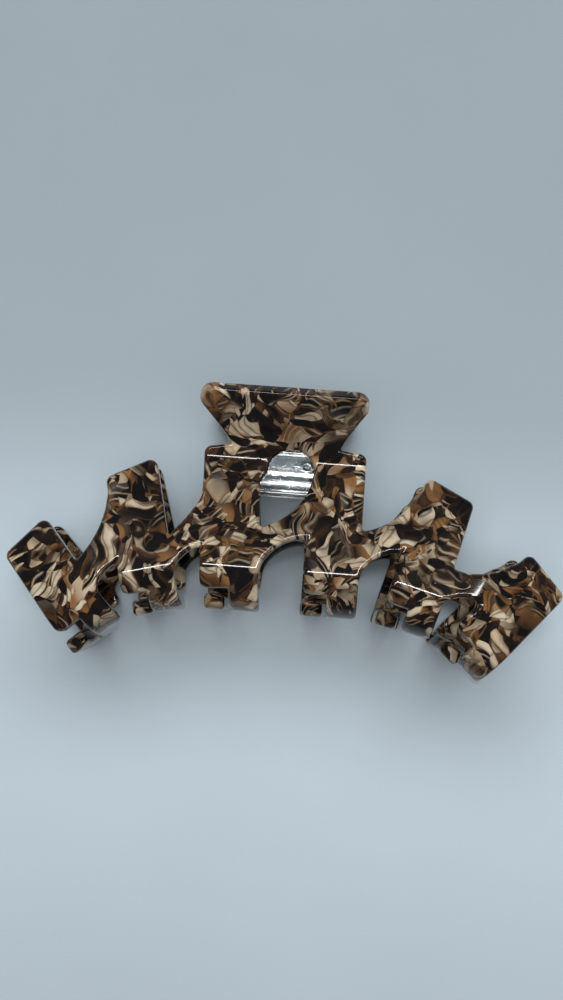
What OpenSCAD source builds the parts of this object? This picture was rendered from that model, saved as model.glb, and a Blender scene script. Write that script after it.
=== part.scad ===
// Sprung claw clip: two bent acetate jaws on a hinge pin, lying on the rear jaw.
// Jaw shapes are drawn about the hinge pin: X along the clip, Y towards the handles and
// Z across the clip. The clip is then placed with its lowest point at Z = 0.

/* [Sheet] */
// Thickness of the acetate sheet
sheet_t = 3.2; // [2.8:0.1:3.6]

/* [Jaw section] */
// Distance from the hinge pin down to the centre of the tooth bend
bend_drop = 19.7; // [19.2:0.1:20.2]
// Distance from the middle plane out to the centre of the tooth bend
bend_out = 10.8; // [10.4:0.1:11.4]
// Outer radius of the tooth bend
bend_r = 6.8; // [6.4:0.1:7.2]
// Angle at which the flat of the jaw leans in towards the hinge
lean = 19.09; // [18:0.01:21]
// Distance that the tooth tips reach past the middle plane
tooth_reach = 3; // [1:0.5:4]

/* [Handle] */
// Angle at which the handle leans out
handle_lean = 43.61; // [43:0.01:46]
// Height above the pin at which the flat of the jaw would meet the handle
handle_y = 7.4; // [7:0.1:8]
// Width of the handle where it leaves the jaw
neck_w = 21.8; // [21:0.2:23]
// Angles at which the front handle's left and right sides spread
handle_flare = [35, 29];
// The same for the rear handle, which is a little narrower
rear_flare = [27, 22];
// Distance of the handle from the middle of the lobes, along the clip
handle_shift = -1.4; // [-2:0.1:0]
// Radius of the outer side of the bend below the handle
handle_bend_r = 6; // [5:0.5:7]

/* [Lobes] */
// Width of the middle, second and outer lobes
lobe_w = [11.6, 10.8, 11.2];
// Angle of each lobe's axis from the middle one outwards
lobe_tilt = [0, 15, 42];
// Place of the middle of each lobe's lower end
lobe_foot = [[10.2, -22.2], [25.9, -23.9], [38.8, -30.2]];
// Extra outward lean of the left middle lobe
left_lean = 4; // [0:0.5:4]
// Width by which the right middle lobe is narrower, taken off its outer side
right_trim = 0.8; // [0:0.1:1]
// Length of each lobe, from its lower end to its top edge
lobe_len = [29.7, 25.8, 20.9];
// Angle by which each lobe's top edge falls away outwards
top_skew = [6, 12, 6];
// Radius of the lobes' corners
lobe_corner = 1.4; // [1:0.1:1.8]
// Distance from the hinge pin down to the lobes' lower ends, along the section
lobe_end = 22.2; // [21.8:0.1:22.6]
// Width of a tooth where it leaves the lobe
tooth_w = 6; // [5:0.1:6.2]
// Width of a tooth at its tip
tooth_tip_w = 4.4; // [3.6:0.1:4.6]
// Distance by which the outer lobes' tooth tips spread outwards
tooth_splay = 2.4; // [0:0.1:2.8]

/* [Hinge] */
// Radius of the hinge pin
pin_r = 0.8; // [0.7:0.05:1]
// Radial clearance of the pin in the knuckles
pin_gap = 0.04; // [0.02:0.01:0.08]
// Outer radius of the knuckles' barrels
barrel_r = 2.1; // [2:0.1:2.3]
// Sideways play of each jaw on the hinge pin, taken up to opposite sides
hinge_play = 0.5; // [0:0.1:0.6]
// Half the width of the clear middle knuckle
mid_knuckle = 6.2; // [6:0.1:6.4]
// Distance from the middle to the outer knuckles
side_knuckle = 12; // [11.8:0.1:12.4]
// Width of each outer knuckle
side_knuckle_w = 3.4; // [3:0.1:3.6]

/* [Spring] */
// Diameter of the spring wire
wire_d = 0.7; // [0.6:0.05:0.8]
// Turns in each spring's coil
coil_turns = 4; // [3:1:4]
// Mean radius of the coil
coil_r = 1.4; // [1.35:0.05:1.6]

/* [Hidden] */
$fn = 48;

acetate = [0.42, 0.29, 0.20];
clear = [0.86, 0.90, 0.92, 0.45];
steel = [0.72, 0.73, 0.75];

// A section is drawn with its first axis along the jaw (0 at the pin) and its second across.
bend_c = [-bend_drop, bend_out];
half_depth = bend_out + bend_r;
flat_start = [bend_c.x + bend_r * sin(lean), bend_c.y + bend_r * cos(lean)];
handle_turn = lean + handle_lean;
bend_tangent = handle_bend_r * tan(handle_turn / 2);
// The flat's length is a whole number of micrometres, so that the handle bend meets it exactly.
flat_len = round(1000 * ((handle_y - flat_start.x) / cos(lean) - bend_tangent)) / 1000;
handle_foot = [handle_y, flat_start.y - (handle_y - flat_start.x) * tan(lean)];
// The handle ends level with the belly of the jaw, so that the clip lies on both.
handle_len = (half_depth - handle_foot.y) / sin(handle_lean);
plate_len = handle_len - bend_tangent;
handle_top_y = handle_y + handle_len * cos(handle_lean) + sheet_t * sin(handle_lean);
// Perpendicular distance from the pin to the inner face of the flat of the jaw.
face_d = (flat_start.y + flat_start.x * tan(lean)) * cos(lean) - sheet_t;
// Where the handle starts, a little below the tops of the middle lobes.
neck_y = 6;
handle_corner = 2.6;
// How far a band's corners run on into the lobes.
band_inset = 2;
// Each facet ends this far outwards of the fold, which leaves a step of a few hundredths.
fold_offset = 0.3;
far = 60;
section_w = 150;
tooth_corner = 1.1;
tooth_lean = 0.25;
// How far the teeth hang below the lobes' lower ends.
tooth_drop = bend_drop + bend_r - lobe_end;
// How far the outer side of an outer lobe's tooth reaches from the lobe's axis, at its rounded tip.
splay_in = tooth_w / 2 - 0.1 - tooth_tip_w / 2 - tooth_lean - tooth_splay;
splay_turn = atan2(splay_in, bend_out + 1.5 + tooth_reach);
tip_x = lobe_w[2] / 2 - tooth_w / 2 + tooth_tip_w / 2 + tooth_lean + tooth_splay;
tooth_out = tip_x + tooth_corner * (1 - cos(splay_turn) / (1 + sin(splay_turn)));
// The lowest point of the outer lobes' teeth, and the pin's Y that centres the clip.
low_y = lobe_foot[2].y - tooth_out * sin(lobe_tilt[2]) - tooth_drop * cos(lobe_tilt[2]);
frame_y = -(handle_top_y + low_y) / 2;

// Thickness of the glue between a knuckle and its jaw.
glue_t = 0.1;
// Half the width of a knuckle's web where it runs into the barrel.
web_w = 1.5;
pin_end = side_knuckle + side_knuckle_w;
head_len = 0.6;
head_r = 1.5;

coil_x0 = mid_knuckle + hinge_play + 0.6;
coil_pitch = wire_d + 0.06;
coil_steps = 14 * coil_turns;
wire_sides = 8;
// Each leg leaves the coil at this angle from Y, and its foot lies along the inner face of a jaw.
leg_angle = 62;
leg_gap = 0.08;
leg_len = (face_d - wire_d / 2 - leg_gap + coil_r * cos(leg_angle + lean)) / sin(leg_angle + lean);
knee_r = 0.6;
foot_len = 1.8;
coil_from = leg_angle - 90;
coil_to = 90 - leg_angle - 360 * coil_turns;

// ---- outlines ----

function unit(v) = v / norm(v);
function turn_right(v) = [v.y, -v.x];
function reversed(list) = [for (i = [len(list) - 1:-1:0]) list[i]];
// The outward direction of the edge that ends at point i of a polygon, points anticlockwise.
function outward(pts, i) = turn_right(unit(pts[i] - pts[(i + len(pts) - 1) % len(pts)]));

// A convex polygon, points running anticlockwise, with every corner rounded to radius r.
module rounded(pts, r) {
  n = len(pts);
  before = [for (i = [0:n - 1]) outward(pts, i)];
  after = [for (i = [0:n - 1]) before[(i + 1) % n]];
  centres = [
    for (i = [0:n - 1])
    pts[i] - (before[i] + after[i]) * r / (1 + before[i] * after[i])
  ];
  polygon([for (i = [0:n - 1]) each [centres[i] + before[i] * r, centres[i] + after[i] * r]]);
  for (c = centres) translate(c) circle(r);
}

// The frame of a lobe: origin at the middle of its lower end, Y up along its axis.
module at_lobe(side, k) {
  trim = side > 0 && k == 0 ? right_trim / 2 : 0;
  extra = side < 0 && k == 0 ? left_lean : 0;
  translate([side * (lobe_foot[k].x - trim), lobe_foot[k].y, 0])
    rotate(-side * (lobe_tilt[k] + extra)) children();
}
function lobe_width(side, k) = lobe_w[k] - (side > 0 && k == 0 ? right_trim : 0);

module lobe(side, k) {
  w = lobe_width(side, k) / 2;
  h = lobe_len[k];
  fall = w * tan(top_skew[k]) * side;
  at_lobe(side, k) rounded([[-w, 0], [w, 0], [w, h - fall], [-w, h + fall]], lobe_corner);
}

// A band between two lobes, whose upper and lower edges are hollowed by arcs. Its top and low
// points lie on the two lobes' edges, and each bulge is how deep its arc cuts.
module band(left_top, right_top, top_bulge, left_low, right_low, low_bulge) {
  top_inset = band_inset * unit(right_top - left_top);
  low_inset = band_inset * unit(right_low - left_low);
  difference() {
    polygon([left_top - top_inset, left_low - low_inset, right_low + low_inset, right_top + top_inset]);
    hollow(left_top, right_top, top_bulge);
    hollow(right_low, left_low, low_bulge);
  }
}

// A circle through a and b that reaches bulge past their chord, on the right of the way from a to b.
module hollow(a, b, bulge) {
  half = norm(b - a) / 2;
  r = (half * half + bulge * bulge) / (2 * bulge);
  translate((a + b) / 2 - turn_right(unit(b - a)) * (r - bulge)) circle(r, $fn = 96);
}

// The middle window above the bands: an arched top on a straight slot.
module window() {
  translate([0.1, 2.2]) circle(4.7);
  polygon([[-5.5, -3], [4.8, -3], [4.8, 2.2], [-3.2, 5], [-5.5, 0.4]]);
}

// The jaw laid out in plan, all but its handle and teeth.
module jaw_outline() {
  difference() {
    union() {
      for (side = [-1, 1], k = [0:2]) lobe(side, k);
      translate([-6, 0]) square([12, neck_y + 1]);
    }
    window();
  }
  band([-41.2, -19.0], [-36.6, -6.3], 1.1, [-36.6, -24.4], [-33.0, -18.9], 0.7);
  band([-22.4, -11.5], [-16.0, 1.5], 1.1, [-21.9, -20.6], [-15.9, -14.1], 1.3);
  band([-5.2, -9.6], [4.8, 1.5], 2.1, [-4.9, -19.0], [4.5, -11.4], 2.1);
  band([15.3, -8.9], [25.0, -1.8], 1.3, [15.2, -18.1], [23.0, -12.8], 1.4);
  band([34.4, -15.2], [45.2, -13.4], 1.2, [33.2, -21.3], [39.4, -21.8], 0.9);
}

// The sheet folds along a line between each two neighbouring lobes: this is the fold's X at
// height y, between lobes k and k + 1, where both lobes' sections are equally far along.
function up_axis(k) = [sin(lobe_tilt[k]), cos(lobe_tilt[k])];
function fold_x(k, y) =
  let (n = up_axis(k) - up_axis(k + 1))
  let (c = lobe_foot[k] * up_axis(k) - lobe_foot[k + 1] * up_axis(k + 1))
  (c - n.y * y) / n.x + fold_offset;

// The line between facets k and k + 1, from low to high.
function facet_edge(k) =
  k == 2 ? [[far + 30, -far], [far + 30, far]] : [[fold_x(k, -far), -far], [fold_x(k, far), far]];
function mirrored(line) = [for (p = line) [-p.x, p.y]];

// The part of the plan that lies on lobe k's own facet of the folded sheet.
module facet_plan(side, k) {
  inner = k == 0 ? mirrored(facet_edge(0)) : facet_edge(k - 1);
  right = concat(facet_edge(k), reversed(inner));
  polygon(side > 0 ? right : reversed(mirrored(right)));
}

// A handle's outline in its own plane, with Y from where it leaves the jaw.
module handle_outline(flare) {
  w = neck_w / 2;
  left = w + handle_len * tan(flare[0]);
  right = w + handle_len * tan(flare[1]);
  rounded([[-w, 0], [w, 0], [right, handle_len], [-left, handle_len]], handle_corner);
  translate([-w, -8]) square([neck_w, 10]);
}

// ---- sections ----

module ring(r_out) {
  difference() {
    circle(r_out, $fn = 96);
    circle(r_out - sheet_t, $fn = 96);
  }
}

// The half of the plane in which X is below 0.
module left_half() translate([-far, -far]) square([far, 2 * far]);

module tooth_section() {
  translate(bend_c + [-bend_r, -tooth_reach - bend_out]) square([sheet_t, bend_out + tooth_reach]);
}

module tooth_bend_section() {
  translate(bend_c) intersection() {
    ring(bend_r);
    rotate(-90) left_half();
    rotate(-lean) left_half();
  }
}

module flat_section() {
  translate(bend_c) rotate(-lean) translate([0, bend_r - sheet_t]) square([flat_len, sheet_t]);
}

// The frame of the handle bend: origin at its centre.
module at_handle_bend() {
  translate(bend_c) rotate(-lean) translate([flat_len, bend_r + handle_bend_r]) children();
}

module handle_bend_section() {
  at_handle_bend() intersection() {
    ring(handle_bend_r + sheet_t);
    rotate(180) left_half();
    rotate(handle_turn) left_half();
  }
}

module handle_section() {
  at_handle_bend() rotate(handle_turn)
    translate([0, -handle_bend_r - sheet_t]) square([plate_len, sheet_t]);
}

// ---- jaws ----

// Stretch i of the section, from the tooth up to the handle.
module stretch(i) {
  if (i == 0) tooth_section();
  if (i == 1) tooth_bend_section();
  if (i == 2) flat_section();
  if (i == 3) handle_bend_section();
  if (i == 4) handle_section();
}

// Stretch i of the section, swept straight across lobe k.
module sweep(side, k, i) {
  at_lobe(side, k) translate([-section_w / 2, lobe_end, 0]) rotate([90, 0, 90])
    linear_extrude(section_w) stretch(i);
}

// A tooth: its root runs on from the lobe's lower end, and its blade narrows to the tip.
// tooth_side is 1 for a tooth on the right half of its lobe, seen from outside the +Z jaw.
module tooth_blank(side, k, tooth_side) {
  w = tooth_w / 2;
  root = w - 0.1;
  tip = tooth_tip_w / 2;
  mid = tooth_side * (lobe_width(side, k) / 2 - w);
  shift = tooth_side * tooth_lean + (k == 2 ? side * tooth_splay : 0);
  at_lobe(side, k) translate([mid, 0, 0]) {
    translate([-w, -8, bend_out]) cube([tooth_w, 10, far]);
    translate([0, 2, 0]) rotate([90, 0, 0]) linear_extrude(10) rounded([
      [-tip + shift, -tooth_reach], [tip + shift, -tooth_reach],
      [root, bend_out + 1.5], [-root, bend_out + 1.5]
    ], tooth_corner);
  }
}

// What the handle is cut from: its outline, drawn in the handle's own plane, down to its neck.
module handle_blank(flare) {
  difference() {
    translate([handle_shift, handle_foot.x, handle_foot.y]) rotate([handle_lean, 0, 0])
      translate([0, 0, -10]) linear_extrude(20) handle_outline(flare);
    translate([-far, neck_y - 2 * far, -far]) cube(2 * far);
    linear_extrude(far) window();
  }
}

// What one facet of the folded sheet is cut from: its part of the plan, the teeth and the handle.
module facet_blank(side, k, tooth_side) {
  sides = k == 0 ? [-1, 1] : [side];
  translate([0, 0, 3]) linear_extrude(far) intersection() {
    jaw_outline();
    facet_plan(side, k);
  }
  for (s = sides) tooth_blank(s, k, tooth_side);
  if (k == 0) handle_blank(tooth_side > 0 ? handle_flare : rear_flare);
}

// One facet of the folded sheet, built stretch by stretch. Only the middle one reaches the handle.
module facet(side, k, tooth_side) {
  for (i = [0:k == 0 ? 4 : 2]) intersection() {
    sweep(side, k, i);
    facet_blank(side, k, tooth_side);
  }
}

// One jaw, on the +Z side of the middle plane.
module jaw(tooth_side) {
  facet(1, 0, tooth_side);
  for (side = [-1, 1], k = [1, 2]) facet(side, k, tooth_side);
}

// The clip as it lies: play is the sideways shift of what is fixed to each jaw.
module place(play) {
  translate([play, frame_y, half_depth]) children();
}

module front_jaw() color(acetate) place(hinge_play) jaw(1);
module rear_jaw() color(acetate) place(-hinge_play) mirror([0, 0, 1]) jaw(-1);

// ---- hinge ----

// A knuckle's block for the +Z jaw, glued to the jaw's inner face, from x0 to x0 + w.
module knuckle(x0, w) {
  face = face_d - glue_t;
  translate([x0, 0, 0]) rotate([90, 0, 90]) difference() {
    union() {
      cylinder(h = w, r = barrel_r);
      rotate(-lean) linear_extrude(w) polygon([
        [-4.6, face], [-4.6, face - 1.6], [-web_w, -pin_r], [web_w, -pin_r], [4.4, face - 1.6], [4.4, face]
      ]);
    }
    translate([0, 0, -1]) cylinder(h = w + 2, r = pin_r + pin_gap);
  }
}

module middle_knuckle() color(clear) place(hinge_play) knuckle(-mid_knuckle, 2 * mid_knuckle);

module side_knuckle_block(x0) {
  place(-hinge_play) mirror([0, 0, 1]) knuckle(x0, side_knuckle_w);
}

module right_knuckle() color(clear) side_knuckle_block(side_knuckle);
module left_knuckle() color(clear) side_knuckle_block(-side_knuckle - side_knuckle_w);

module along_x(x0, len, r) {
  translate([x0, 0, 0]) rotate([0, 90, 0]) cylinder(h = len, r = r);
}

module hinge_pin() color(steel) place(-hinge_play) {
  along_x(-pin_end, 2 * pin_end + head_len + 0.2, pin_r);
  along_x(-pin_end - head_len, head_len, head_r);
}

module pin_retainer() color(steel) place(-hinge_play) difference() {
  along_x(pin_end, head_len, head_r);
  along_x(pin_end - 1, head_len + 2, pin_r + pin_gap / 2);
}

// ---- springs ----

function coil_point(a) = [coil_x0 - coil_pitch * (a - coil_from) / 360, coil_r * cos(a), coil_r * sin(a)];
// The coil, between the two places where it runs out straight into its legs.
function coil_turn_points() = [
  for (i = [0:coil_steps])
  coil_point(coil_from + (coil_to - coil_from) * i / coil_steps)
];
// A leg runs from the coil to the inner face of a jaw, where a short foot turns up along the face.
// face_side is 1 for the +Z jaw.
function leg_points(start, face_side) =
  let (along = [0, cos(leg_angle), face_side * sin(leg_angle)])
  let (up_face = [0, cos(lean), -face_side * sin(lean)])
  let (knee = start + leg_len * along)
  let (inside = knee + 0.3 * knee_r * (up_face - along))
  [knee - knee_r * along, inside, knee + knee_r * up_face, knee + foot_len * up_face];
function spring_path() = concat(
  reversed(leg_points(coil_point(coil_from), 1)),
  coil_turn_points(),
  leg_points(coil_point(coil_to), -1)
);

// A round wire along a path: a ring of points at each path point, at right angles to the path.
module wire(path, d) {
  n = len(path);
  m = wire_sides;
  function tangent(i) = unit(path[min(i + 1, n - 1)] - path[max(i - 1, 0)]);
  function side_dir(i) = unit(cross(tangent(i), [1, 0.001, 0]));
  function ring_point(c, u, v, j) = c + d / 2 * (u * cos(360 * j / m) + v * sin(360 * j / m));
  points = [
    for (i = [0:n - 1])
    let (u = side_dir(i))
    let (v = cross(tangent(i), u))
    for (j = [0:m - 1])
    ring_point(path[i], u, v, j)
  ];
  faces = [
    [for (j = [0:m - 1]) j],
    for (i = [0:n - 2], j = [0:m - 1])
    [i * m + j, (i + 1) * m + j, (i + 1) * m + (j + 1) % m, i * m + (j + 1) % m],
    [for (j = [0:m - 1]) n * m - 1 - j]
  ];
  polyhedron(points, faces, convexity = 6);
}

module right_spring() color(steel) place(0) wire(spring_path(), wire_d);
module left_spring() color(steel) mirror([1, 0, 0]) place(0) wire(spring_path(), wire_d);

front_jaw();
rear_jaw();
middle_knuckle();
left_knuckle();
right_knuckle();
hinge_pin();
pin_retainer();
left_spring();
right_spring();
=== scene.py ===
import math

import bpy
import numpy as np
from mathutils import Matrix, Vector


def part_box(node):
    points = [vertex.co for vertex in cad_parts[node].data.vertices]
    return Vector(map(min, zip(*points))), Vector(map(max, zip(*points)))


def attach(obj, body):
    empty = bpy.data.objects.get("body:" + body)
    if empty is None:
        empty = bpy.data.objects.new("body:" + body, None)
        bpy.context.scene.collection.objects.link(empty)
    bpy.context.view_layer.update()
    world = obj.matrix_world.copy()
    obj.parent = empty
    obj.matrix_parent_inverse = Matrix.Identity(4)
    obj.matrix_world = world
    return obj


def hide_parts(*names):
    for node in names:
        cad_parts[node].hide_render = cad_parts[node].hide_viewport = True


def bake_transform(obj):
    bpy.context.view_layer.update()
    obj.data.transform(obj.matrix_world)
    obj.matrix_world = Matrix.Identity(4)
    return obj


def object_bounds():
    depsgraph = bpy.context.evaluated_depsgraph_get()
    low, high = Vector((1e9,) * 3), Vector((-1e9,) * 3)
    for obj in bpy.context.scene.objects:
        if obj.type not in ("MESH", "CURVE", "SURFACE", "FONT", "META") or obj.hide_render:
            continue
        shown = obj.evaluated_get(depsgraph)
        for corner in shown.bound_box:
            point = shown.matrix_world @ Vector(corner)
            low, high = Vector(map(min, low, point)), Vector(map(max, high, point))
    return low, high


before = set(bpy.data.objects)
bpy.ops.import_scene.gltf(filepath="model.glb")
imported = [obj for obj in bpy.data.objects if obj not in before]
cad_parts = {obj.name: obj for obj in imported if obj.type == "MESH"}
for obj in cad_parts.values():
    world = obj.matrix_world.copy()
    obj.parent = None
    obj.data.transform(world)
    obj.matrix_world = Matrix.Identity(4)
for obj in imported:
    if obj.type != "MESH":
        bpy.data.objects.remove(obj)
cad_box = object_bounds()

# Lengths in the shape code are millimetres, measured from the hinge pin: X along the clip,
# Y towards the handles, Z across. side is +1 or -1 for the right or left half of a jaw.
MM = 0.001
# Longer than any part of the section
FAR = 60.0

pin_lo, pin_hi = (np.array(c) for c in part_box("hinge_pin"))
knuckle_lo, knuckle_hi = (np.array(c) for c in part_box("middle_knuckle"))
# The middle of the pin, in metres, and each jaw's sideways play on it
PIN = np.array([0.0, (pin_lo[1] + pin_hi[1]) / 2, (pin_lo[2] + pin_hi[2]) / 2])
PLAY = (knuckle_lo[0] + knuckle_hi[0]) / 2 / MM


# ---- sheet section ----

SHEET_T = 3.2
HALF_T = SHEET_T / 2
# How far the flat of the jaw leans in towards the hinge
LEAN = math.radians(19.09)
# Centre and outer radius of the tooth bend, and how far the teeth reach past the middle plane
BEND = np.array([-19.7, 10.8])
BEND_R = 6.8
REACH = 3.0
# How far the handle leans out, where its line meets the flat's, and the radius of the bend's hollow side
HANDLE_LEAN = math.radians(43.61)
HANDLE_Y = 7.4
HANDLE_BEND_R = 6.0
HALF_DEPTH = BEND[1] + BEND_R

along = np.array([math.cos(LEAN), -math.sin(LEAN)])
outwards = np.array([math.sin(LEAN), math.cos(LEAN)])
FLAT_START = BEND + BEND_R * outwards
HANDLE_FOOT = np.array([HANDLE_Y, FLAT_START[1] - (HANDLE_Y - FLAT_START[0]) * math.tan(LEAN)])
HANDLE_TURN = LEAN + HANDLE_LEAN
TANGENT = HANDLE_BEND_R * math.tan(HANDLE_TURN / 2)
FLAT_LEN = (HANDLE_Y - FLAT_START[0]) / math.cos(LEAN) - TANGENT
HANDLE_LEN = (HALF_DEPTH - HANDLE_FOOT[1]) / math.sin(HANDLE_LEAN)
HANDLE_BEND = FLAT_START + FLAT_LEN * along + HANDLE_BEND_R * outwards
# Distance from the pin to the inner face of the flat
FLAT_FACE = (FLAT_START[1] + FLAT_START[0] * math.tan(LEAN)) * math.cos(LEAN) - SHEET_T


def seg_dist(px, pz, a, b):
    """Distance to a segment from a to b."""
    d = b - a
    h = np.clip(((px - a[0]) * d[0] + (pz - a[1]) * d[1]) / (d @ d), 0, 1)
    return np.hypot(px - a[0] - h * d[0], pz - a[1] - h * d[1])


def arc_dist(px, pz, centre, r, mid, half):
    """Distance to an arc about centre, whose middle lies at angle mid and which spans half to each side."""
    x, z = px - centre[0], pz - centre[1]
    c, s = math.cos(mid), math.sin(mid)
    u, v = x * c + z * s, np.abs(-x * s + z * c)
    inside = u * math.sin(half) >= v * math.cos(half)
    end = np.hypot(u - r * math.cos(half), v - r * math.sin(half))
    return np.where(inside, np.abs(np.hypot(u, v) - r), end)


def section_dist(s, z):
    """Distance to the sheet's surface at s along the jaw and z across: negative inside the sheet."""
    tooth_s = BEND[0] - BEND_R + HALF_T
    d = seg_dist(s, z, np.array([tooth_s, -FAR]), np.array([tooth_s, BEND[1]]))
    start = math.pi / 2 - LEAN
    d = np.minimum(d, arc_dist(s, z, BEND, BEND_R - HALF_T, (math.pi + start) / 2, (math.pi - start) / 2))
    a = FLAT_START - HALF_T * outwards
    d = np.minimum(d, seg_dist(s, z, a, a + FLAT_LEN * along))
    turn = HANDLE_TURN / 2
    d = np.minimum(d, arc_dist(s, z, HANDLE_BEND, HANDLE_BEND_R + HALF_T, start - math.pi + turn, turn))
    end = HANDLE_BEND + (HANDLE_BEND_R + HALF_T) * np.array([math.sin(HANDLE_LEAN), -math.cos(HANDLE_LEAN)])
    plate = np.array([math.cos(HANDLE_LEAN), math.sin(HANDLE_LEAN)])
    d = np.minimum(d, seg_dist(s, z, end, end + 2 * HANDLE_LEN * plate))
    return d - HALF_T


# ---- outlines ----

# The middle, second and outer lobes: width, angle, middle of the lower end, and length
LOBE_W = [11.6, 10.8, 11.2]
LOBE_TILT = [0, 15, 42]
LOBE_FOOT = [(10.2, -22.2), (25.9, -23.9), (38.8, -30.2)]
LOBE_LEN = [29.7, 25.8, 20.9]
# The left middle lobe leans out a little more, and the right middle one is narrower.
LEFT_LEAN = 4
RIGHT_TRIM = 0.8
# How far each lobe's top edge falls away outwards
TOP_SKEW = [math.radians(a) for a in (6, 12, 6)]
LOBE_CORNER = 1.6
# Distance from the pin down to the lobes' lower ends, along the section
LOBE_END = 22.2
TOOTH_W = 6.0
TOOTH_TIP_W = 4.2
TOOTH_CORNER = 1.4
# The blade of a tooth is this much narrower than the tooth on each side of its root.
TOOTH_ROOT_TRIM = 0.1
TOOTH_ROOT_Z = BEND[1] + 1.5
# How far every tooth's tip leans, and how far those of the outer lobes spread as well
TOOTH_LEAN = 0.25
TOOTH_SPLAY = 2.4
NECK_W = 21.8
# Spread of the handle's left and right sides, for the front jaw (1) and the rear jaw (-1)
FLARE = {1: (math.radians(35), math.radians(29)), -1: (math.radians(27), math.radians(22))}
HANDLE_SHIFT = -1.4
HANDLE_CORNER = 2.6
# Where the handle starts
NECK_Y = 6.0
# The part between the two middle lobes, which the handle stands on
STAND_HALF_W = 7
STAND_TOP = NECK_Y + 1.5
# The window in the middle of the jaw: a round arch, and the slot below it
ARCH_X, ARCH_Y, ARCH_R = 0.1, 2.2, 4.7
SLOT = [(-5.5, -3), (4.8, -3), (4.8, 2.2), (-3.2, 5), (-5.5, 0.4)]
# The plan's outline only holds above this height. Below it, the teeth have their own outline.
PLAN_LOW = 3
# Widths over which folds and joined outlines blend, and the radius of the polished edges
FOLD_BLEND = 1.2
JOIN = 1.0
EDGE_R = 0.85

# The bands between the lobes. Each has the ends and the bulge of its upper edge, then of its lower one.
BAND_INSET = 2.5
BANDS = [
    ((-41.2, -19.0), (-36.6, -6.3), 1.1, (-36.6, -24.4), (-33.0, -18.9), 0.7),
    ((-22.4, -11.5), (-16.0, 1.5), 1.1, (-21.9, -20.6), (-15.9, -14.1), 1.3),
    ((-5.2, -9.6), (4.8, 1.5), 2.1, (-4.9, -19.0), (4.5, -11.4), 2.1),
    ((15.3, -8.9), (25.0, -1.8), 1.3, (15.2, -18.1), (23.0, -12.8), 1.4),
    ((34.4, -15.2), (45.2, -13.4), 1.2, (33.2, -21.3), (39.4, -21.8), 0.9),
]


def poly_dist(x, y, pts):
    """Signed distance to a polygon, points anticlockwise."""
    d = np.full(np.broadcast(x, y).shape, 1e9)
    inside = np.zeros(d.shape, bool)
    for i in range(len(pts)):
        a, b = np.array(pts[i - 1], float), np.array(pts[i], float)
        d = np.minimum(d, seg_dist(x, y, a, b))
        cross = (a[1] > y) != (b[1] > y)
        if a[1] != b[1]:
            inside ^= cross & (x < (b[0] - a[0]) * (y - a[1]) / (b[1] - a[1]) + a[0])
    return np.where(inside, -d, d)


def rounded_dist(x, y, pts, r):
    """Signed distance to a convex polygon with its corners rounded to r, points anticlockwise."""
    pts = [np.array(p, float) for p in pts]
    n = len(pts)
    out = []
    for i in range(n):
        d = pts[i] - pts[i - 1]
        out.append(np.array([d[1], -d[0]]) / np.hypot(*d))
    inner = [pts[i] - (out[i] + out[(i + 1) % n]) * r / (1 + out[i] @ out[(i + 1) % n]) for i in range(n)]
    return poly_dist(x, y, inner) - r


def smooth_min(a, b, r):
    h = np.maximum(r - np.abs(a - b), 0) / r
    return np.minimum(a, b) - h * h * r / 4


def smooth_max(a, b, r):
    return -smooth_min(-a, -b, r)


def round_both(a, b, r):
    """The solid where both distances are negative, with the edge where they meet rounded to r."""
    inner = np.minimum(np.maximum(a, b), -r)
    return inner + np.hypot(np.maximum(a + r, 0), np.maximum(b + r, 0))


def circle_through(a, b, bulge):
    """Centre and radius of a circle through a and b that bulges right of the way from a to b."""
    a, b = np.array(a, float), np.array(b, float)
    d = b - a
    half = np.hypot(*d) / 2
    r = (half * half + bulge * bulge) / (2 * bulge)
    right = np.array([d[1], -d[0]]) / (2 * half)
    return (a + b) / 2 - right * (r - bulge), r


def lobe_width(side, k):
    return LOBE_W[k] - (RIGHT_TRIM if side > 0 and k == 0 else 0)


def in_lobe(x, y, side, k):
    """x and y in a lobe's own frame: origin at the middle of its lower end, Y along its axis."""
    foot = LOBE_FOOT[k]
    shift = RIGHT_TRIM / 2 if side > 0 and k == 0 else 0
    tilt = math.radians(LOBE_TILT[k] + (LEFT_LEAN if side < 0 and k == 0 else 0))
    u, v = x - side * (foot[0] - shift), y - foot[1]
    c, s = math.cos(tilt), side * math.sin(tilt)
    return u * c - v * s, u * s + v * c


def lobe_dist(x, y, side, k):
    u, v = in_lobe(x, y, side, k)
    w, h = lobe_width(side, k) / 2, LOBE_LEN[k]
    fall = w * math.tan(TOP_SKEW[k]) * side
    return rounded_dist(u, v, [(-w, 0), (w, 0), (w, h - fall), (-w, h + fall)], LOBE_CORNER)


def band_dist(x, y, band):
    left_top, right_top, top_bulge, left_low, right_low, low_bulge = band
    lt, rt, ll, rl = (np.array(p, float) for p in (left_top, right_top, left_low, right_low))
    # The corners run on into the lobes.
    top = BAND_INSET * (rt - lt) / np.hypot(*(rt - lt))
    low = BAND_INSET * (rl - ll) / np.hypot(*(rl - ll))
    d = poly_dist(x, y, [lt - top, ll - low, rl + low, rt + top])
    for a, b, bulge in ((lt, rt, top_bulge), (rl, ll, low_bulge)):
        c, r = circle_through(a, b, bulge)
        d = np.maximum(d, r - np.hypot(x - c[0], y - c[1]))
    return d


def window_dist(x, y):
    arch = np.hypot(x - ARCH_X, y - ARCH_Y) - ARCH_R
    return np.minimum(arch, poly_dist(x, y, SLOT))


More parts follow.
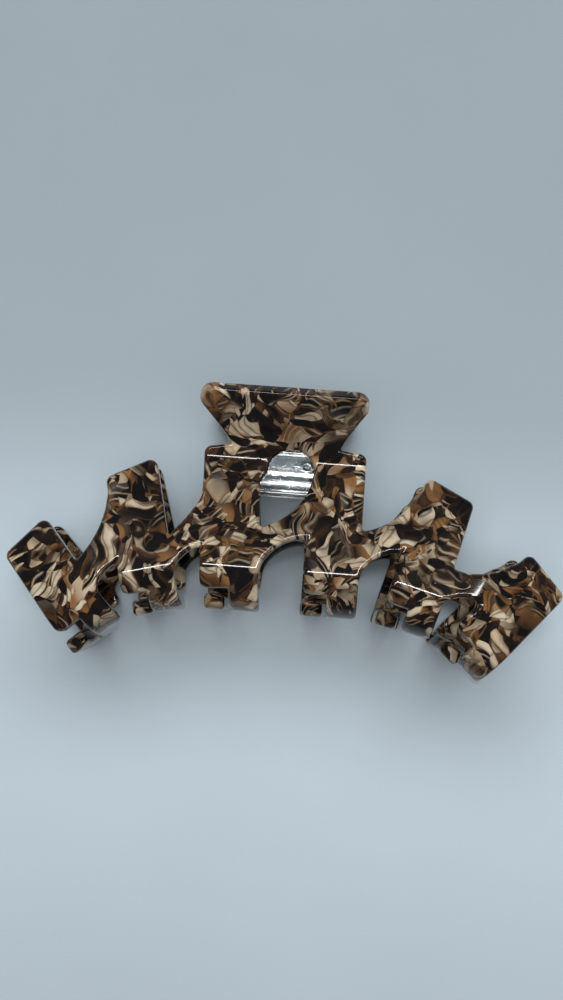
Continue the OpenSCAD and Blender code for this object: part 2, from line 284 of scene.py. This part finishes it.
def plan_dist(x, y):
    """Signed distance to the jaw's plan, all but its handle and teeth."""
    w = STAND_HALF_W
    d = poly_dist(x, y, [(-w, 0), (w, 0), (w, STAND_TOP), (-w, STAND_TOP)])
    for k in range(3):
        for side in (-1, 1):
            d = np.minimum(d, lobe_dist(x, y, side, k))
    d = np.maximum(d, -window_dist(x, y))
    for band in BANDS:
        d = smooth_min(d, band_dist(x, y, band), JOIN)
    return d


def near_root(v):
    """Negative from 8 below the root of a tooth or handle to 2 above it."""
    return np.abs(v + 3) - 5


def tooth_dist(x, y, z, side, k, tooth_side):
    w = TOOTH_W / 2
    mid = tooth_side * (lobe_width(side, k) / 2 - w)
    u, v = in_lobe(x, y, side, k)
    u = u - mid
    tip, root = TOOTH_TIP_W / 2, w - TOOTH_ROOT_TRIM
    shift = tooth_side * TOOTH_LEAN + (side * TOOTH_SPLAY if k == 2 else 0)
    outline = [(-tip + shift, -REACH), (tip + shift, -REACH), (root, TOOTH_ROOT_Z), (-root, TOOTH_ROOT_Z)]
    blade = rounded_dist(u, z, outline, TOOTH_CORNER)
    upper = np.maximum(np.abs(u) - w, BEND[1] - z)
    return np.maximum(np.minimum(blade, upper), near_root(v))


def handle_dist(x, y, z, flare):
    hx = x - HANDLE_SHIFT
    hy = (y - HANDLE_FOOT[0]) * math.cos(HANDLE_LEAN) + (z - HANDLE_FOOT[1]) * math.sin(HANDLE_LEAN)
    w = NECK_W / 2
    left, right = (w + HANDLE_LEN * math.tan(f) for f in flare)
    d = rounded_dist(hx, hy, [(-w, 0), (w, 0), (right, HANDLE_LEN), (-left, HANDLE_LEN)], HANDLE_CORNER)
    stem = np.maximum(np.abs(hx) - w, near_root(hy))
    d = smooth_min(d, stem, JOIN)
    return np.maximum(d, NECK_Y - y)


def jaw_dist(x, y, z, tooth_side):
    """Signed distance to one jaw, on the +Z side of the middle plane."""
    # s is how far along the section a point lies: the second and outer lobes fold about their own axes.
    s = y + 0 * x
    for k in (1, 2):
        tilt = math.radians(LOBE_TILT[k])
        u = (math.sin(tilt), math.cos(tilt))
        foot = LOBE_FOOT[k]
        s_k = (np.abs(x) - foot[0]) * u[0] + (y - foot[1]) * u[1] - LOBE_END
        s = smooth_max(s, s_k, FOLD_BLEND)
    sheet = section_dist(s, z)
    outline = np.maximum(plan_dist(x, y), PLAN_LOW - z)
    handle = np.maximum(handle_dist(x, y, z, FLARE[tooth_side]), -window_dist(x, y))
    blank = np.minimum(outline, handle)
    for k in range(3):
        for side in (-1, 1):
            blank = np.minimum(blank, tooth_dist(x, y, z, side, k, tooth_side))
    return round_both(sheet, blank, EDGE_R)


# ---- knuckles ----

# The face that is glued to the jaw, and the glue's thickness
GLUE_T = 0.1
KNUCKLE_FACE = FLAT_FACE - GLUE_T
BARREL_R = 2.1
BORE_R = 0.84
# The glued pad's ends and thickness, and the web from it down past the pin
PAD_TOP, PAD_LOW, PAD_T = 4.4, -4.6, 1.6
PAD_CORNER = 0.3
WEB_W = 1.5
WEB_FOOT = -0.8
WEB_BLEND = 0.8
KNUCKLE_EDGE_R = 0.35
# The moulded ring in the middle knuckle's pad: its centre, its radius and its groove's radius
RING_X, RING_U, RING_R, GROOVE_R = 3.1, 1.7, 0.95, 0.32


def knuckle_dist(x, y, z, x0, x1, ringed):
    """Signed distance to a knuckle between x0 and x1, for the +Z jaw."""
    u, v = y * math.cos(LEAN) - z * math.sin(LEAN), y * math.sin(LEAN) + z * math.cos(LEAN)
    f = KNUCKLE_FACE
    pad = [(PAD_TOP, f - PAD_T), (PAD_TOP, f), (PAD_LOW, f), (PAD_LOW, f - PAD_T)]
    block = rounded_dist(u, v, pad + [(-WEB_W, WEB_FOOT), (WEB_W, WEB_FOOT)], PAD_CORNER)
    barrel = np.hypot(y, z) - BARREL_R
    body = smooth_min(block, barrel, WEB_BLEND)
    ends = np.abs(x - (x0 + x1) / 2) - (x1 - x0) / 2
    d = round_both(body, ends + 0 * y, KNUCKLE_EDGE_R)
    if ringed:
        groove = np.hypot(np.hypot(x - RING_X, u - RING_U) - RING_R, v - f) - GROOVE_R
        d = np.maximum(d, -groove)
    return np.maximum(d, BORE_R - np.hypot(y, z))


# ---- meshing ----

CORNERS = np.array([(i, j, k) for i in (0, 1) for j in (0, 1) for k in (0, 1)])
CELL_EDGES = [(a, b) for a in range(8) for b in range(a + 1, 8) if np.abs(CORNERS[a] - CORNERS[b]).sum() == 1]


def surface_mesh(dist, lo, hi, h):
    """Vertices and quads on the zero level of dist(x, y, z), one vertex in each grid cell it crosses."""
    axes = [np.arange(a - 1.5 * h, b + 2.5 * h, h) for a, b in zip(lo, hi)]
    vol = dist(axes[0][:, None, None], axes[1][None, :, None], axes[2][None, None, :])
    vol = np.broadcast_to(vol, [len(a) for a in axes])
    inside = vol < 0
    nx, ny, nz = (n - 1 for n in inside.shape)
    count = sum(inside[i:nx + i, j:ny + j, k:nz + k].astype(np.int8) for i, j, k in CORNERS)
    cells = np.argwhere((count > 0) & (count < 8))
    index = np.full(count.shape, -1)
    index[tuple(cells.T)] = np.arange(len(cells))
    values = np.stack([vol[tuple((cells + c).T)] for c in CORNERS], 1)
    total, hits = np.zeros((len(cells), 3)), np.zeros(len(cells))
    for a, b in CELL_EDGES:
        va, vb = values[:, a], values[:, b]
        cut = (va < 0) != (vb < 0)
        t = np.where(cut, va / np.where(cut, va - vb, 1), 0)
        total += cut[:, None] * (CORNERS[a] + t[:, None] * (CORNERS[b] - CORNERS[a]))
        hits += cut
    verts = (cells + total / hits[:, None]) * h + np.array([a[0] for a in axes])
    quads = []
    for axis in range(3):
        p, q = (axis + 1) % 3, (axis + 2) % 3
        first = [slice(1, -1)] * 3
        first[axis] = slice(0, -1)
        second = list(first)
        second[axis] = slice(1, None)
        a, b = inside[tuple(first)], inside[tuple(second)]
        at = np.argwhere(a != b)
        leaving = a[tuple(at.T)]
        at[:, p] += 1
        at[:, q] += 1
        ring = []
        for dp, dq in ((-1, -1), (0, -1), (0, 0), (-1, 0)):
            cell = at.copy()
            cell[:, p] += dp
            cell[:, q] += dq
            ring.append(index[tuple(cell.T)])
        ring = np.stack(ring, 1)
        quads.append(np.where(leaving[:, None], ring, ring[:, ::-1]))
    return verts, np.concatenate(quads)


def slope(dist, p, step=0.02):
    """The gradient of dist at each point."""
    x, y, z = p.T
    return np.stack([
        dist(x + step, y, z) - dist(x - step, y, z),
        dist(x, y + step, z) - dist(x, y - step, z),
        dist(x, y, z + step) - dist(x, y, z - step),
    ], 1) / (2 * step)


def settle(dist, verts, h, rounds=2, least=0.2):
    """Moves the vertices onto the zero level. least keeps the step small where the slope is flat."""
    for _ in range(rounds):
        g = slope(dist, verts)
        move = dist(*verts.T)[:, None] * g / np.maximum((g * g).sum(1), least)[:, None]
        verts = verts - np.clip(move, -h / 2, h / 2)
    return verts


def to_object(name, verts, faces, material, normals=None):
    """A mesh object from millimetres about the pin, smooth shaded."""
    mesh = bpy.data.meshes.new(name)
    mesh.from_pydata([tuple(v) for v in (verts * MM + PIN)], [], [tuple(int(i) for i in f) for f in faces])
    mesh.materials.append(material)
    mesh.polygons.foreach_set("use_smooth", [True] * len(mesh.polygons))
    if normals is not None:
        mesh.normals_split_custom_set_from_vertices([tuple(n) for n in normals])
    mesh.validate()
    obj = bpy.data.objects.new(name, mesh)
    bpy.context.scene.collection.objects.link(obj)
    return obj


def solid(name, dist, lo, hi, h, material, play, flip=False):
    """Meshes dist, mirrored across the middle plane if flip is set, and moves it by play along X."""
    verts, quads = surface_mesh(dist, lo, hi, h)
    verts = settle(dist, verts, h)
    n = slope(dist, verts)
    n /= np.maximum(np.linalg.norm(n, axis=1), 1e-6)[:, None]
    if flip:
        verts = verts * (1, 1, -1)
        n = n * (1, 1, -1)
        quads = quads[:, ::-1]
    return to_object(name, verts + (play, 0, 0), quads, material, n)


# ---- materials ----

class Nodes:
    """Adds nodes to a material. Each call returns an output of the new node."""

    def __init__(self, name):
        self.material = bpy.data.materials.new(name)
        self.material.use_nodes = True
        self.tree = self.material.node_tree
        self.shader = self.tree.nodes["Principled BSDF"]

    def add(self, kind, out=0, **inputs):
        """A name that starts with _ is a setting, i0 is the first input, and __ stands for a space."""
        node = self.tree.nodes.new(kind)
        settings = {key[1:]: value for key, value in inputs.items() if key.startswith("_")}
        for key, value in settings.items():
            setattr(node, key, value)
        for key, value in inputs.items():
            if key.startswith("_"):
                continue
            numbered = key[0] == "i" and key[1:].isdigit()
            self.put(node.inputs[int(key[1:]) if numbered else key.replace("__", " ")], value)
        return node.outputs[out]

    def put(self, socket, value):
        if isinstance(value, bpy.types.NodeSocket):
            self.tree.links.new(value, socket)
        else:
            socket.default_value = value

    def set(self, name, value):
        self.put(self.shader.inputs[name], value)

    def math(self, op, a, b=0.0, c=0.0, clamp=False):
        return self.add("ShaderNodeMath", _operation=op, _use_clamp=clamp, i0=a, i1=b, i2=c)

    def vector(self, op, a, b=(0, 0, 0), out=0):
        return self.add("ShaderNodeVectorMath", out, _operation=op, i0=a, i1=b)

    def scaled(self, a, factor):
        node = self.tree.nodes.new("ShaderNodeVectorMath")
        node.operation = "SCALE"
        self.put(node.inputs[0], a)
        self.put(node.inputs["Scale"], factor)
        return node.outputs[0]

    def millimetres(self):
        """The place on the object, in millimetres."""
        return self.scaled(self.add("ShaderNodeTexCoord", 3), 1 / MM)

    def noise(self, where, scale, detail=2.0, rough=0.5, out=0):
        return self.add("ShaderNodeTexNoise", out, Vector=where, Scale=scale, Detail=detail, Roughness=rough)

    def voronoi(self, where, scale, feature="F1", out="Color"):
        return self.add("ShaderNodeTexVoronoi", out, _feature=feature, Vector=where, Scale=scale)

    def bump(self, strength, distance, height):
        return self.add("ShaderNodeBump", Strength=strength, Distance=distance, Height=height)

    def near(self, distance, width):
        """1 on an edge, falling to 0 at width from it."""
        return self.math("SUBTRACT", 1.0, self.math("DIVIDE", distance, width), clamp=True)

    def mix(self, factor, a, b, blend="MIX"):
        node = self.tree.nodes.new("ShaderNodeMix")
        node.data_type = "RGBA"
        node.blend_type = blend
        self.put(node.inputs["Factor"], factor)
        self.put(node.inputs["A"], a)
        self.put(node.inputs["B"], b)
        return node.outputs["Result"]

    def ramp(self, factor, stops, kind="LINEAR"):
        node = self.tree.nodes.new("ShaderNodeValToRGB")
        node.color_ramp.interpolation = kind
        e = node.color_ramp.elements
        while len(e) < len(stops):
            e.new(0.5)
        for item, (at, colour) in zip(e, stops):
            item.position = at
            item.color = (*colour, 1)
        self.put(node.inputs["Fac"], factor)
        return node.outputs["Color"]

    def split(self, vector, out):
        return self.add("ShaderNodeSeparateXYZ", out, i0=vector)


def linear(r, g, b):
    """A linear colour from sRGB levels of 0 to 255."""
    return tuple(((c / 255 + 0.055) / 1.055) ** 2.4 if c > 10 else c / 255 / 12.92 for c in (r, g, b))


def opaque(colour):
    return (*colour, 1)


def grey(value):
    return (value, value, value)


DARK = linear(12, 8, 7)
UMBER = linear(34, 22, 15)
BROWN = linear(62, 41, 26)
CARAMEL = linear(122, 86, 52)
CREAM = linear(178, 159, 133)
PALE = linear(190, 176, 154)
GREY = linear(92, 89, 84)
TAUPE = linear(70, 60, 50)

# Each chip runs from its first tone to its second. A pair that comes twice is twice as common.
GROUND_CHIPS = [
    (DARK, UMBER), (DARK, DARK), (DARK, BROWN), (DARK, CARAMEL), (DARK, BROWN), (CARAMEL, CREAM),
    (UMBER, CREAM), (DARK, DARK), (CREAM, PALE), (DARK, UMBER), (TAUPE, CREAM), (DARK, GREY),
    (DARK, CREAM), (UMBER, CARAMEL), (DARK, DARK), (CARAMEL, PALE), (DARK, UMBER), (DARK, TAUPE),
]
SLIVER_CHIPS = [
    (DARK, DARK), (CREAM, PALE), (UMBER, DARK), (BROWN, CREAM), (DARK, UMBER), (PALE, CREAM),
    (DARK, CARAMEL), (DARK, DARK), (TAUPE, CREAM), (DARK, BROWN), (DARK, DARK),
]


def chip_layer(n, bent, shift, cluster, size, pairs):
    """Elongated chips that share a direction in each cluster. Returns their colour and a random value."""
    moved = n.vector("ADD", bent, shift)
    turn = n.vector("MULTIPLY", n.voronoi(moved, cluster), grey(6.283))
    rotated = n.add("ShaderNodeVectorRotate", _rotation_type="EULER_XYZ", Vector=moved, Rotation=turn)
    chips = n.vector("MULTIPLY", rotated, size)
    random = n.voronoi(chips, 1.0)
    edge = n.voronoi(chips, 1.0, "DISTANCE_TO_EDGE", "Distance")
    local = n.vector("SUBTRACT", chips, n.voronoi(chips, 1.0, "F1", "Position"))
    pick, second, third = (n.split(random, i) for i in range(3))
    # A smooth gradient across each chip, from its first tone to its second
    way = n.vector("NORMALIZE", n.vector("SUBTRACT", random, grey(0.5)))
    across = n.math("MULTIPLY_ADD", n.vector("DOT_PRODUCT", local, way, out=1), 1.6, 0.42, clamp=True)
    share = 1.0 / len(pairs)
    first_tone = n.ramp(pick, [(i * share, p[0]) for i, p in enumerate(pairs)], "CONSTANT")
    second_tone = n.ramp(pick, [(i * share, p[1]) for i, p in enumerate(pairs)], "CONSTANT")
    colour = n.mix(n.math("SMOOTH_MIN", across, 1.0, 0.3), first_tone, second_tone)
    # Fine laminations run along half of the chips, dark in most of them and cream in the rest.
    wave = n.add("ShaderNodeTexWave", _wave_type="BANDS", _bands_direction="X", Vector=rotated, Scale=0.30,
                 Distortion=1.6, Detail=1.0, Detail__Scale=0.6)
    streak = n.math("MULTIPLY", n.math("GREATER_THAN", third, 0.5), n.math("POWER", wave, 5.0))
    line = n.mix(n.math("GREATER_THAN", second, 0.65), opaque(DARK), opaque(CREAM))
    colour = n.mix(n.math("MULTIPLY", streak, 0.65), colour, line)
    # A thin umber seam, and beside it a soft umber or caramel glow
    tint = n.mix(n.math("GREATER_THAN", pick, 0.5), opaque(UMBER), opaque(CARAMEL))
    glow = n.math("MULTIPLY", n.near(edge, 0.16), n.math("MULTIPLY", second, 0.8))
    colour = n.mix(glow, colour, tint)
    colour = n.mix(n.math("MULTIPLY", n.near(edge, 0.035), 0.8), colour, opaque(UMBER))
    return colour, third


def acetate(name, offset):
    """Mosaic acetate: chips of dark brown, caramel and cream pressed together."""
    n = Nodes(name)
    where = n.vector("ADD", n.millimetres(), offset)
    warp = n.vector("SUBTRACT", n.noise(where, 0.13, 1.0, 0.4, out=1), grey(0.5))
    bent = n.vector("ADD", where, n.scaled(warp, 7.0))
    ground, _ = chip_layer(n, bent, (0, 0, 0), 0.10, (0.31, 0.135, 0.23), GROUND_CHIPS)
    slivers, chance = chip_layer(n, bent, (31, 17, 23), 0.09, (0.68, 0.13, 0.42), SLIVER_CHIPS)
    chips = n.mix(n.math("GREATER_THAN", chance, 0.5), ground, slivers)
    # Smoky depth in the sheet
    smoke = n.ramp(n.noise(bent, 0.16, 3.0, 0.6), [(0.36, (0.42, 0.40, 0.38)), (0.56, grey(1.0))])
    n.set("Base Color", n.mix(1.0, chips, smoke, "MULTIPLY"))
    n.set("Roughness", n.math("MULTIPLY_ADD", n.noise(where, 0.4, 3.0), 0.05, 0.05))
    n.set("IOR", 1.49)
    n.set("Specular IOR Level", 0.35)
    n.set("Coat Weight", 0.3)
    n.set("Coat Roughness", 0.03)
    n.set("Normal", n.bump(0.05, 0.0004, n.noise(where, 0.22, 2.0)))
    return n.material


def clear_resin():
    """Clear moulded resin, slightly uneven. Its IOR is low, so that the pin shows through the barrel."""
    n = Nodes("clear_resin")
    where = n.millimetres()
    n.set("Base Color", n.mix(n.noise(where, 0.5, 2.0), (0.93, 0.95, 0.95, 1), (0.99, 0.99, 0.98, 1)))
    n.set("Transmission Weight", 1.0)
    n.set("IOR", 1.3)
    n.set("Roughness", n.math("MULTIPLY_ADD", n.noise(where, 1.6, 3.0), 0.06, 0.0))
    n.set("Normal", n.bump(0.3, 0.0003, n.noise(where, 1.1, 3.0, 0.6)))
    return n.material


def steel(name, value, rough, metallic=1.0):
    """Drawn steel, with fine lines along X."""
    n = Nodes(name)
    fine = n.noise(n.vector("MULTIPLY", n.millimetres(), (0.3, 3.0, 3.0)), 2.0, 4.0, 0.6)
    n.set("Base Color", n.mix(fine, (value * 0.85, value * 0.86, value * 0.88, 1), opaque(grey(value))))
    n.set("Metallic", metallic)
    n.set("Roughness", n.math("MULTIPLY_ADD", fine, 0.15, rough))
    n.set("Normal", n.bump(0.1, 0.0001, fine))
    return n.material


def floor_material():
    """Pale blue paper, with painted shade: lighter in front of the clip than behind it."""
    n = Nodes("floor")
    where = n.millimetres()
    speck = n.noise(where, 0.02, 3.0, 0.5)
    paper = n.mix(speck, opaque(linear(174, 187, 195)), opaque(linear(182, 195, 203)))
    # Painted shade: the paper's colour is darkened along Y, most behind the clip and a little far in front of
    # it, in place of the fall of light.
    shaded_depth = 240
    depth = n.math("MULTIPLY_ADD", n.split(where, 1), 1 / shaded_depth, 0.5, clamp=True)
    levels = [(0.0, 0.84), (0.3, 0.97), (0.44, 0.95), (0.66, 0.64), (1.0, 0.6)]
    shade = n.ramp(depth, [(at, grey(level)) for at, level in levels], "EASE")
    n.set("Base Color", n.mix(1.0, paper, shade, "MULTIPLY"))
    n.set("Roughness", 0.7)
    n.set("Specular IOR Level", 0.25)
    n.set("Normal", n.bump(0.08, 0.0005, n.noise(where, 1.5, 4.0)))
    return n.material


# ---- pieces ----

GRID = 0.4
KNUCKLE_GRID = 0.25
JAW_LO, JAW_HI = (-58, -40, -4), (58, 21, 19)

front_acetate = acetate("acetate_front", (11.0, 3.0, 5.0))
rear_acetate = acetate("acetate_rear", (53.0, 27.0, 41.0))
resin = clear_resin()
pin_steel = steel("pin_steel", 0.86, 0.2, 0.6)
wire_steel = steel("spring_steel", 0.55, 0.18)


def hang(piece, node, body):
    """Puts a piece on its body in place of the CAD's node."""
    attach(piece, body)
    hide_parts(node)


def jaw(name, node, body, tooth_side, material):
    """tooth_side is 1 for the front jaw and -1 for the rear one, which is mirrored."""
    def dist(x, y, z):
        return jaw_dist(x, y, z, tooth_side)
    piece = solid(name, dist, JAW_LO, JAW_HI, GRID, material, tooth_side * PLAY, tooth_side < 0)
    hang(piece, node, body)


def knuckle(name, node, body, flip, ringed=False):
    lo, hi = (np.array(c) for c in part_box(node))
    play = -PLAY if flip else PLAY
    x0, x1 = lo[0] / MM - play, hi[0] / MM - play

    def dist(x, y, z):
        return knuckle_dist(x, y, z, x0, x1, ringed)
    piece = solid(name, dist, (x0, -8, -4), (x1, 9, 10), KNUCKLE_GRID, resin, play, flip)
    hang(piece, node, body)


jaw("front_jaw_sheet", "front_jaw", "front_half", 1, front_acetate)
jaw("rear_jaw_sheet", "rear_jaw", "rear_half", -1, rear_acetate)
knuckle("middle_knuckle_resin", "middle_knuckle", "front_half", False, True)
knuckle("left_knuckle_resin", "left_knuckle", "rear_half", True)
knuckle("right_knuckle_resin", "right_knuckle", "rear_half", True)


# ---- pin ----

PIN_R = 0.8
HEAD_LEN = 0.6
# Depth of the head's dome
DOME = 0.45
# A turned profile closes at this radius.
CLOSED = 0.001


def lathe(name, profile, material, sides=48):
    """A solid turned about the pin's axis, from (x, radius) points."""
    verts, faces = [], []
    for x, r in profile:
        for i in range(sides):
            a = 2 * math.pi * i / sides
            verts.append((x, r * math.cos(a), r * math.sin(a)))
    for j in range(len(profile) - 1):
        for i in range(sides):
            k = (i + 1) % sides
            faces.append((j * sides + i, j * sides + k, (j + 1) * sides + k, (j + 1) * sides + i))
    return to_object(name, np.array(verts), faces, material)


def turned_pin():
    x0, x1 = pin_lo[0] / MM, pin_hi[0] / MM
    r, head_r = PIN_R, (pin_hi[1] - pin_lo[1]) / 2 / MM
    dome_steps = 8
    profile = [(x0, CLOSED)]
    for i in range(1, dome_steps):
        a = math.radians(i * 90 / dome_steps)
        profile.append((x0 + DOME * (1 - math.cos(a)), head_r * (0.25 + 0.75 * math.sin(a))))
    profile.append((x0 + DOME * (1 - math.cos(math.pi / 2)), head_r))
    # The head's rim and its under side
    profile += [(x0 + HEAD_LEN - 0.05, head_r - 0.02), (x0 + HEAD_LEN, head_r - 0.1)]
    profile += [(x0 + HEAD_LEN, r + 0.05), (x0 + HEAD_LEN + 0.05, r)]
    # The shank, and the chamfer at its end
    profile += [(x0 + 1.0 + (x1 - x0 - 1.2) * i / 12, r) for i in range(13)]
    profile += [(x1 - 0.1, r - 0.03), (x1 - 0.03, r - 0.12), (x1, r - 0.3), (x1, CLOSED)]
    return lathe("hinge_pin_turned", profile, pin_steel)


def turned_retainer():
    """A collar round the pin, with rounded rims."""
    lo, hi = (np.array(c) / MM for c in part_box("pin_retainer"))
    x0, x1, r = lo[0], hi[0], (hi[1] - lo[1]) / 2
    profile = [(x0, PIN_R), (x0, r - 0.08), (x0 + 0.05, r - 0.02), (x0 + 0.12, r), (x1 - 0.2, r)]
    profile += [(x1 - 0.08, r - 0.08), (x1, r - 0.25), (x1, PIN_R), (x0, PIN_R)]
    return lathe("pin_retainer_turned", profile, pin_steel)


hang(turned_pin(), "hinge_pin", "rear_half")
hang(turned_retainer(), "pin_retainer", "rear_half")


# ---- springs ----

# Half of the CAD's wire, and the drawn wire's radius, which is a little less
HALF_WIRE = 0.35
WIRE_R = 0.34
COIL_R = 1.4
COIL_TURNS = 4
COIL_STEPS = 28 * COIL_TURNS
# Each leg leaves the coil at this angle, bends at its knee, and its foot lies along the jaw.
LEG = math.radians(62)
LEG_GAP = 0.08
KNEE_R = 0.6
FOOT_LEN = 1.8


def spring_path(x0, pitch):
    """A torsion spring about the pin, from x0: a leg on the front jaw, the coil, a leg on the rear jaw."""
    leg_len = (FLAT_FACE - HALF_WIRE - LEG_GAP + COIL_R * math.cos(LEG + LEAN)) / math.sin(LEG + LEAN)

    def leg(x, face_side):
        """From the foot's end to the coil, drawn for the side given."""
        out = np.array([math.cos(LEG), math.sin(LEG)])
        start = COIL_R * np.array([math.sin(LEG), -math.cos(LEG)])
        knee = start + leg_len * out
        foot = knee + FOOT_LEN * np.array([math.cos(LEAN), -math.sin(LEAN)])
        pts = [foot, foot * 0.45 + knee * 0.55]
        a, b, c = knee * 0.7 + foot * 0.3, knee, knee - KNEE_R * out
        pts += [(1 - t) ** 2 * a + 2 * t * (1 - t) * b + t * t * c for t in np.linspace(0, 1, 7)]
        pts += [start + (c - start) * t for t in (0.66, 0.33)]
        return [np.array([x, p[0], face_side * p[1]]) for p in pts]

    first = leg(x0, 1)
    a0, a1 = LEG - math.pi / 2, math.pi / 2 - LEG - 2 * math.pi * COIL_TURNS
    coil = []
    for i in range(COIL_STEPS + 1):
        t = i / COIL_STEPS
        a = a0 + (a1 - a0) * t
        coil.append(np.array([x0 + pitch * COIL_TURNS * t, COIL_R * math.cos(a), COIL_R * math.sin(a)]))
    last = leg(x0 + pitch * COIL_TURNS, -1)[::-1]
    return np.array(first + coil + last)


def tube(name, path, r, material, sides=14):
    """A round wire along a path, with rounded ends."""
    tangents = np.gradient(path, axis=0)
    tangents /= np.linalg.norm(tangents, axis=1)[:, None]
    normal = np.cross(tangents[0], (1, 0, 0))
    normal /= np.linalg.norm(normal)
    verts, faces, rings = [], [], []
    # Each ring's place beyond the path's end, in half radii, and its share of the wire's radius
    start = [(-0.8, 0.35), (-0.45, 0.8)]
    end = [(0.45, 0.8), (0.8, 0.35)]
    for i, (p, t) in enumerate(zip(path, tangents)):
        normal = normal - t * (normal @ t)
        normal /= np.linalg.norm(normal)
        side = np.cross(t, normal)
        shapes = [(0, 1)]
        if i == 0:
            shapes = start + shapes
        if i == len(path) - 1:
            shapes = shapes + end
        for shift, width in shapes:
            rings.append(len(verts))
            for j in range(sides):
                a = 2 * math.pi * j / sides
                round_it = math.cos(a) * normal + math.sin(a) * side
                verts.append(p + t * shift * r * 0.5 + r * width * round_it)
    for a, b in zip(rings, rings[1:]):
        for j in range(sides):
            k = (j + 1) % sides
            faces.append((a + j, a + k, b + k, b + j))
    faces.append(tuple(range(rings[0] + sides - 1, rings[0] - 1, -1)))
    faces.append(tuple(range(rings[-1], rings[-1] + sides)))
    return to_object(name, np.array(verts), faces, material)


for name, sign in (("left_spring", -1), ("right_spring", 1)):
    lo, hi = (np.array(c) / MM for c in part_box(name))
    near = (lo[0] if sign > 0 else -hi[0]) + HALF_WIRE
    pitch = (hi[0] - lo[0] - 2 * HALF_WIRE) / COIL_TURNS
    path = spring_path(near, pitch)
    if sign < 0:
        path = path * (-1, 1, 1)
    spring = tube(name + "_wire", path, WIRE_R, wire_steel)
    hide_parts(name)
    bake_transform(spring)


# ---- stage ----

def make_floor():
    """A sheet of paper, a hair below the clip, in n by n cells."""
    size, n, gap = 4.0, 40, 0.00002
    z = cad_box[0][2] - gap
    steps = [(i / n - 0.5) * size for i in range(n + 1)]
    verts = [(x, y, z) for y in steps for x in steps]
    row = n + 1
    corners = [j * row + i for j in range(n) for i in range(n)]
    faces = [(c, c + 1, c + row + 1, c + row) for c in corners]
    mesh = bpy.data.meshes.new("floor")
    mesh.from_pydata(verts, [], faces)
    mesh.materials.append(floor_material())
    obj = bpy.data.objects.new("floor", mesh)
    bpy.context.scene.collection.objects.link(obj)


make_floor()


def area_light(name, where, target, size, power, colour):
    """A rectangular light at where, its long side along X, facing target. Metres about the pin."""
    light = bpy.data.lights.new(name, "AREA")
    light.shape = "RECTANGLE"
    light.size, light.size_y = size
    light.energy = power
    light.color = colour
    obj = bpy.data.objects.new(name, light)
    at, to = Vector(where) + Vector(PIN), Vector(target) + Vector(PIN)
    z = (at - to).normalized()
    x = Vector((1, 0, 0))
    y = z.cross(x).normalized()
    x = y.cross(z)
    obj.matrix_world = Matrix.Translation(at) @ Matrix((x, y, z)).transposed().to_4x4()
    bpy.context.scene.collection.objects.link(obj)
    return obj


# The narrow light draws the bright lines on the folds, and adds no diffuse light.
strip = area_light("strip", (0.0, 0.62, 0.95), (0, 0, 0), (1.1, 0.05), 6.0, (1.0, 0.99, 0.97))
strip.visible_diffuse = False
# These two light the set softly, and aren't seen in the polish.
ceiling = area_light("ceiling", (0.05, 0.62, 1.05), (0, 0, 0), (1.2, 0.7), 13.0, (0.96, 0.98, 1.0))
ceiling.visible_glossy = False
fill = area_light("fill", (0.0, -0.05, 0.9), (0, 0, 0), (0.5, 0.4), 4.4, (1.0, 0.99, 0.98))
fill.visible_glossy = False

world = bpy.data.worlds.new("studio")
world.use_nodes = True
background = world.node_tree.nodes["Background"]
background.inputs["Color"].default_value = (0.86, 0.90, 0.95, 1)
background.inputs["Strength"].default_value = 0.16
bpy.context.scene.world = world


# ---- camera ----

# Metres from the pin, and the directions of the picture's right, its top and the viewer:
# nearly straight down, leaning back 4.7 degrees and turned 4.4 degrees
CAMERA_AT = Vector((0.011652, -0.026851, 0.30212))
CAMERA_RIGHT = Vector((0.99639, 0.07648, -0.03675))
CAMERA_UP = Vector((-0.07325, 0.99390, 0.08242))
CAMERA_BACK = Vector((0.04283, -0.07943, 0.99592))


def make_camera():
    data = bpy.data.cameras.new("camera")
    data.sensor_fit = "HORIZONTAL"
    data.sensor_width = 36
    data.lens = 92.7
    data.clip_start, data.clip_end = 0.01, 10
    obj = bpy.data.objects.new("camera", data)
    turn = Matrix((CAMERA_RIGHT, CAMERA_UP, CAMERA_BACK)).transposed().to_4x4()
    obj.matrix_world = Matrix.Translation(CAMERA_AT + Vector(PIN)) @ turn
    bpy.context.scene.collection.objects.link(obj)
    bpy.context.scene.camera = obj


make_camera()
bpy.context.scene.view_settings.view_transform = "Standard"
